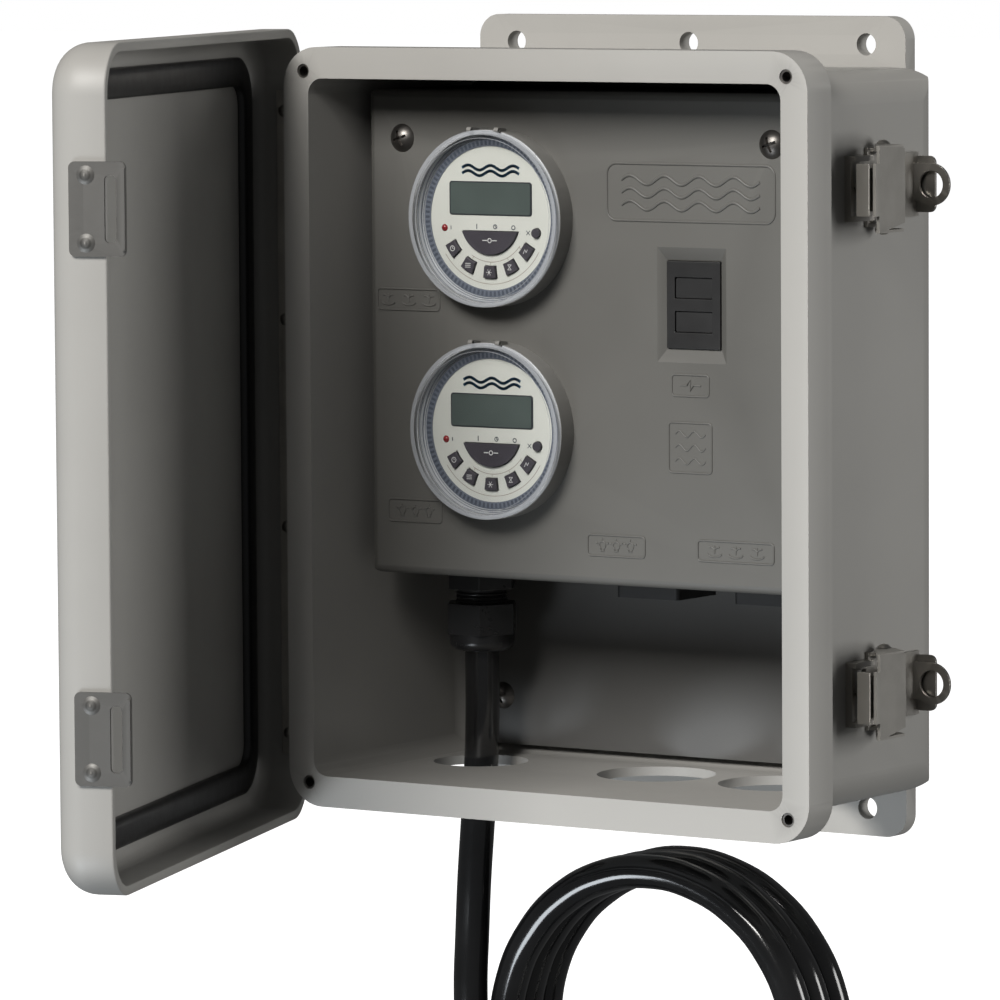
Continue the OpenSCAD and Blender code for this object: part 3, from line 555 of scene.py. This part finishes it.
for t, cz in enumerate(TIMER_Z, 1):
    cx = TIMER_X
    bm = bmesh.new()
    round_band(bm, 34.1, 31.0, cx, cz, DIAL_Y - 0.45, DIAL_Y - 0.01, 0.12, 96)
    from_bmesh(f"timer_{t}_tick_ring", bm, TICK)
    bm = bmesh.new()
    for k in range(96):
        a = 360 * k / 96
        sector(bm, 31.5, 33.6, a - 0.95, a + 0.95, DIAL_Y - 0.44, cx, cz)
    from_bmesh(f"timer_{t}_ticks", bm, TICK_MARK, smooth=False)
    bm = bmesh.new()
    lathe(bm, SEAT_PROFILE, (cx, DIAL_Y, cz), "Y", 128)
    from_bmesh(f"timer_{t}_lens_seat", bm, SEAT, sharp=60)
    bm = bmesh.new()
    for r, depth in ((34.5, 0.85), (35.3, 1.5), (36.0, 3.0)):
        rod(bm, [(x, DIAL_Y - depth, z) for x, z in circle_points(r, 128, cx, cz)], 0.13, 6, closed=True)
    from_bmesh(f"timer_{t}_seat_lines", bm, TICK)
    bm = bmesh.new()
    lcd = (cx, cz + 8.4)
    band(bm, ring_points(42.6, 14.6, 1.3, 5, *lcd), ring_points(40.9, 12.9, 0.7, 5, *lcd),
         DIAL_Y - 0.34, DIAL_Y - 0.02, 0.12)
    from_bmesh(f"timer_{t}_display_frame", bm, LCD_FRAME)
    bm = bmesh.new()
    for z in (19.2, 21.6):
        crest = wave(-14.5, 14.5, z, 1.05, 2.5, 50)
        stroke(bm, [(cx + x, cz + v) for x, v in crest], 1.25, DIAL_Y - 0.01, 0.1)
    from_bmesh(f"timer_{t}_wave_mark", bm, BLUE, smooth=False)

    bm = bmesh.new()
    y = DIAL_Y - 0.01
    stroke(bm, [(cx - 7.3, cz - 4.7), (cx - 7.3, cz - 2.7)], 0.42, y, 0.08)
    round_band(bm, 1.05, 0.66, cx + 11.6, cz - 3.9, y - 0.08, y, n=20)
    round_band(bm, 1.05, 0.72, cx + 2.2, cz - 3.7, y - 0.08, y, n=20)
    stroke(bm, [(cx + 2.2, cz - 2.9), (cx + 2.2, cz - 3.7), (cx + 2.8, cz - 4.0)], 0.3, y, 0.08)
    stroke(bm, [(cx - 20.7, cz - 5.2), (cx - 20.7, cz - 3.7)], 0.36, y, 0.08)
    for s in (-1, 1):
        stroke(bm, [(cx + 18.3, cz - 6.0 - s * 0.9), (cx + 20.1, cz - 6.0 + s * 0.9)], 0.3, y, 0.08)
    from_bmesh(f"timer_{t}_symbols", bm, INK, smooth=False)

    bm = bmesh.new()
    for r, a0, a1 in ((18.9, 238, 322), (28.4, 214, 330)):
        pts = circle_points(r, 48, cx, cz, a0, a1)
        stroke(bm, pts, 0.22, y, 0.06)
    for a in (241.5, 269.5, 296.5, 320):
        c, d = math.cos(math.radians(a)), math.sin(math.radians(a))
        stroke(bm, [(cx + r * c, cz + r * d) for r in (18.9, 20.0)], 0.22, y, 0.06)
    from_bmesh(f"timer_{t}_guide_lines", bm, TAN, smooth=False)

    # a small light symbol on each key: dial, list, sun, hourglass, ring, and a hand-over bar
    top = KEY_Y - 0.01
    for key, angle in zip(("clock", "program", "day", "hour", "minute"), (-145, -118.5, -90.5, -63.5, -37)):
        bm = bmesh.new()
        a = math.radians(angle)
        kx, kz = cx + 23.3 * math.cos(a), cz + 23.3 * math.sin(a)

        if key == "clock":
            band(bm, circle_points(1.25, 18, kx, kz), circle_points(0.92, 18, kx, kz), top - 0.06, top)
            stroke(bm, [(kx, kz + 0.7), (kx, kz), (kx + 0.5, kz)], 0.24, top, 0.06)
        elif key == "program":
            for v in (-0.8, 0, 0.8):
                stroke(bm, [(kx - 1.3, kz + v), (kx + 1.3, kz + v)], 0.3, top, 0.06)
        elif key == "day":
            plate(bm, circle_points(0.6, 14, kx, kz), top - 0.06, top)
            for b in range(0, 360, 60):
                c, d = math.cos(math.radians(b)), math.sin(math.radians(b))
                stroke(bm, [(kx + 0.9 * c, kz + 0.9 * d), (kx + 1.35 * c, kz + 1.35 * d)], 0.26, top, 0.06)
        elif key == "hour":
            glass = ((-0.9, 1.1), (0.9, 1.1), (-0.9, -1.1), (0.9, -1.1), (-0.9, 1.1))
            stroke(bm, [(kx + u, kz + v) for u, v in glass], 0.28, top, 0.06)
        else:
            zigzag = ((-1.1, -0.8), (-0.3, 0.9), (0.4, -0.3), (1.1, 0.9))
            stroke(bm, [(kx + u, kz + v) for u, v in zigzag], 0.28, top, 0.06)
        from_bmesh(f"timer_{t}_{key}_mark", bm, LIGHT_INK, f"timer_{t}_{key}_button", smooth=False)
    bm = bmesh.new()
    mx, mz = cx + 0.2, cz - 9.6
    stroke(bm, [(mx - 3.6, mz), (mx - 1.4, mz)], 0.42, top, 0.06)
    band(bm, circle_points(1.1, 18, mx, mz), circle_points(0.7, 18, mx, mz), top - 0.06, top)
    stroke(bm, [(mx + 1.4, mz), (mx + 3.6, mz)], 0.42, top, 0.06)
    from_bmesh(f"timer_{t}_manual_mark", bm, LIGHT_INK, f"timer_{t}_manual_button", smooth=False)

    # fine moulded rings and a border round the clear cover; their pale, half-opaque colour is a painted
    # sheen standing in for the reflections on the clear plastic's edge
    bm = bmesh.new()
    for r, y0 in ((34.6, COVER_Y), (36.2, COVER_Y), (37.6, COVER_Y + 0.15)):
        rod(bm, [(x, y0, z) for x, z in circle_points(r, 128, cx, cz)], 0.14, 6, closed=True)
    from_bmesh(f"timer_{t}_cover_rings", bm, CLEAR_RIM_SHEEN, f"timer_{t}_cover")
    bm = bmesh.new()
    round_band(bm, 38.05, 36.4, cx, cz, COVER_Y - 0.07, COVER_Y + 0.09, 0.05)
    from_bmesh(f"timer_{t}_cover_border", bm, CLEAR_RIM_SHEEN, f"timer_{t}_cover")

# ---- raised frames and plain symbols on the panel ----

LINE = 0.42


def frame_line(bm, x0, x1, z0, z1, r, radius=LINE):
    pts = ring_points(x1 - x0, z1 - z0, r, 6, (x0 + x1) / 2, (z0 + z1) / 2)
    rod(bm, [(x, PANEL_Y - 0.05, z) for x, z in pts], radius, 8, closed=True)


def path_line(bm, pts, radius=LINE * 0.9):
    rod(bm, [(x, PANEL_Y - 0.02, z) for x, z in pts], radius, 8)


def fountain(bm, x, z, s):
    """A single jet with two falling arcs over a basin."""
    path_line(bm, [(x, z - 1.2 * s), (x, z + 2.6 * s)])
    for k in (-1, 1):
        path_line(bm, [(x + k * s * 3.0 * (1 - math.cos(math.radians(a))) / 1.3,
                        z + s * (2.4 * math.sin(math.radians(a)) - 0.4)) for a in range(30, 120, 15)])
    basin = [math.radians(a) for a in range(180, 361, 20)]
    path_line(bm, [(x + s * 4.0 * math.cos(a), z + s * (-1.4 + 1.6 * math.sin(a))) for a in basin])


def bulb(bm, x, z, s):
    """A round lamp on a short cap, with three rays."""
    def at(u, v):
        return (x + s * u, z + s * v)

    def arc(r, angle):
        return r * math.cos(math.radians(angle)), r * math.sin(math.radians(angle))

    path_line(bm, [at(u, 0.7 + v) for u, v in (arc(2.0, a) for a in range(-60, 241, 20))])
    path_line(bm, [at(-1.0, -1.4), at(-1.0, -2.3), at(1.0, -2.3), at(1.0, -1.4)])
    for c, d in (arc(1, a) for a in (20, 90, 160)):
        path_line(bm, [at(3.0 * c, 0.7 + 2.9 * d), at(4.2 * c, 0.7 + 3.5 * d)])


bm = bmesh.new()
frame_line(bm, 11.7, 95.5, 91.7, 115.9, 4.5, 0.5)
for z, h in ((109.0, 1.9), (103.6, 1.9), (98.2, 1.9)):
    path_line(bm, wave(19, 88, z, h, 4, 96), 0.62)
from_bmesh("panel_plaque", bm, PANEL)
bm = bmesh.new()
for x0, x1, z0, z1 in ((-107.5, -75, 50.3, 59.4), (-102.5, -74.6, -42, -32.3), (44, 62.5, 17.7, 26.8),
                       (1, 30, -52.3, -43.3), (56.7, 94.5, -52.1, -43.3), (42.4, 63.8, -14.9, 6.4)):
    frame_line(bm, x0, x1, z0, z1, 1.6)
from_bmesh("panel_label_frames", bm, PANEL)
bm = bmesh.new()
for x in (-102, -91.2, -80.5):
    fountain(bm, x, 54.9, 0.85)
for x in (65, 75.6, 86.2):
    fountain(bm, x, -47.6, 0.85)
for x in (-95.5, -88.5, -81.5):
    bulb(bm, x, -37.6, 0.8)
for x in (8.4, 15.5, 22.6):
    bulb(bm, x, -48.2, 0.8)
path_line(bm, [(48, 22.3), (51.5, 22.3), (53.2, 24.6), (53.2, 19.9), (54.9, 22.3), (58.5, 22.3)])
for z in (1.6, -4.2, -10.0):
    path_line(bm, wave(45.6, 60.6, z, 1.3, 2, 30))
from_bmesh("panel_symbols", bm, PANEL)

# ---- studio ----

world = bpy.data.worlds.new("studio")
bpy.context.scene.world = world
world.use_nodes = True
wn = world.node_tree
fill = wn.nodes["Background"]
fill.inputs["Color"].default_value = (0.97, 0.985, 1, 1)
fill.inputs["Strength"].default_value = 0.09
white = wn.nodes.new("ShaderNodeBackground")
white.inputs["Color"].default_value = (1, 1, 1, 1)
white.inputs["Strength"].default_value = 1.0
ray = wn.nodes.new("ShaderNodeLightPath")
both = wn.nodes.new("ShaderNodeMixShader")
wn.links.new(ray.outputs["Is Camera Ray"], both.inputs["Fac"])
wn.links.new(fill.outputs["Background"], both.inputs[1])
wn.links.new(white.outputs["Background"], both.inputs[2])
wn.links.new(both.outputs["Shader"], wn.nodes["World Output"].inputs["Surface"])


def area(name, at, aim, size, power, color=(1, 1, 1)):
    data = bpy.data.lights.new(name, "AREA")
    data.shape = "RECTANGLE"
    data.size, data.size_y = size
    data.energy = power
    data.color = color
    obj = bpy.data.objects.new(name, data)
    obj.location = at
    obj.rotation_euler = (Vector(aim) - Vector(at)).to_track_quat("-Z", "Y").to_euler()
    bpy.context.scene.collection.objects.link(obj)


area("key", (0.09, -2.45, 1.62), (0, -0.1, 0.02), (1.2, 1.0), 104, (1, 0.98, 0.95))
area("low", (-0.45, -1.3, -0.95), (0, -0.12, -0.1), (0.9, 0.5), 13.5, (0.88, 0.94, 1))
area("right", (2.0, 0.8, 0.1), (0.14, -0.05, 0), (0.7, 1.4), 23.5, (1, 0.995, 0.98))

bm = bmesh.new()
bmesh.ops.create_grid(bm, x_segments=4, y_segments=4, size=22)
bmesh.ops.translate(bm, verts=bm.verts, vec=(0, 0, CAD_BOX[0][2] - 0.012))
floor = from_bmesh("studio_floor", bm, None, None)
pale = material("pale_floor", (0.86, 0.86, 0.855), 0.7, grain=(60, 0.05, 0.2), mottle=(1.2, 0.01))
pale.node_tree.nodes["Principled BSDF"].inputs["Emission Color"].default_value = (1, 1, 1, 1)
pale.node_tree.nodes["Principled BSDF"].inputs["Emission Strength"].default_value = 1.0
floor.data.materials.append(pale)
floor.visible_shadow = False
floor.visible_diffuse = False
floor.visible_glossy = False

bpy.context.view_layer.update()
